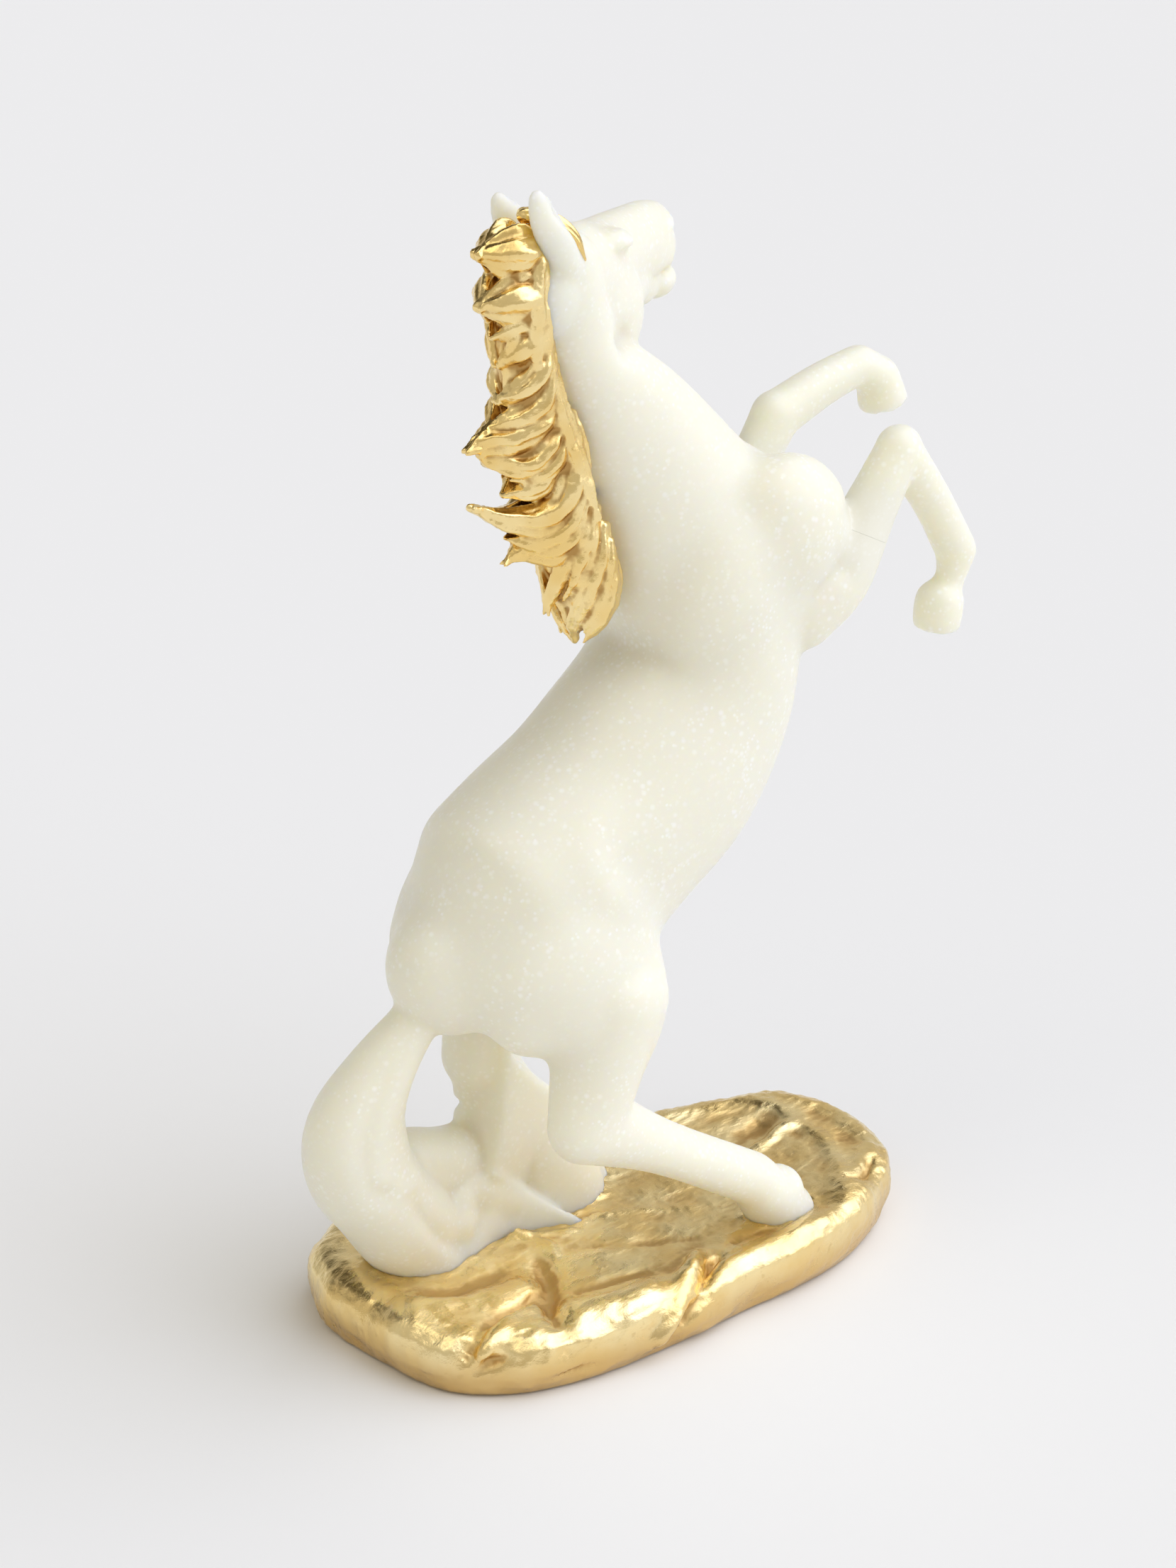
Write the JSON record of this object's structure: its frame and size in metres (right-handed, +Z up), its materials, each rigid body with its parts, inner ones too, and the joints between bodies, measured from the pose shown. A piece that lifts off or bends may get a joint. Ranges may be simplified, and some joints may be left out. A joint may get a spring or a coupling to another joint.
{
  "type": "rearing horse statuette",
  "caption": "Rearing horse statuette in pale cast stone-resin with a gilded mane, standing on a gilded rock slab with a felt underside.",
  "frame": {"origin": "centre of the resting face, the underside of the felt pad", "axes": "+X the way the horse faces, +Y towards the horse's left side, +Z up"},
  "size_m": [0.1811, 0.0804, 0.2598],
  "materials": {
    "cast_resin": "waxy satin, translucent, cast marble-powder resin",
    "mane_gold_leaf": "bright burnished gold leaf over the same resin",
    "base_gold_leaf": "satin gold leaf over cast resin, burnished on the rim",
    "steel": "plain",
    "felt": "felt"
  },
  "bodies": {
    "root": {"rock_base": "base_gold_leaf", "felt_pad": "felt", "body_casting": "cast_resin", "right_foreleg": "cast_resin", "left_foreleg": "cast_resin", "mane": "mane_gold_leaf", "forelock": "mane_gold_leaf", "right_foreleg_dowel": "steel", "left_foreleg_dowel": "steel", "mane_upper_dowel": "steel", "mane_lower_dowel": "steel", "right_hind_rod": "steel", "right_hind_washer": "steel", "right_hind_nut": "steel", "left_hind_rod": "steel", "left_hind_washer": "steel", "left_hind_nut": "steel", "tail_rod": "steel", "tail_washer": "steel", "tail_nut": "steel"}
  },
  "joints": []
}
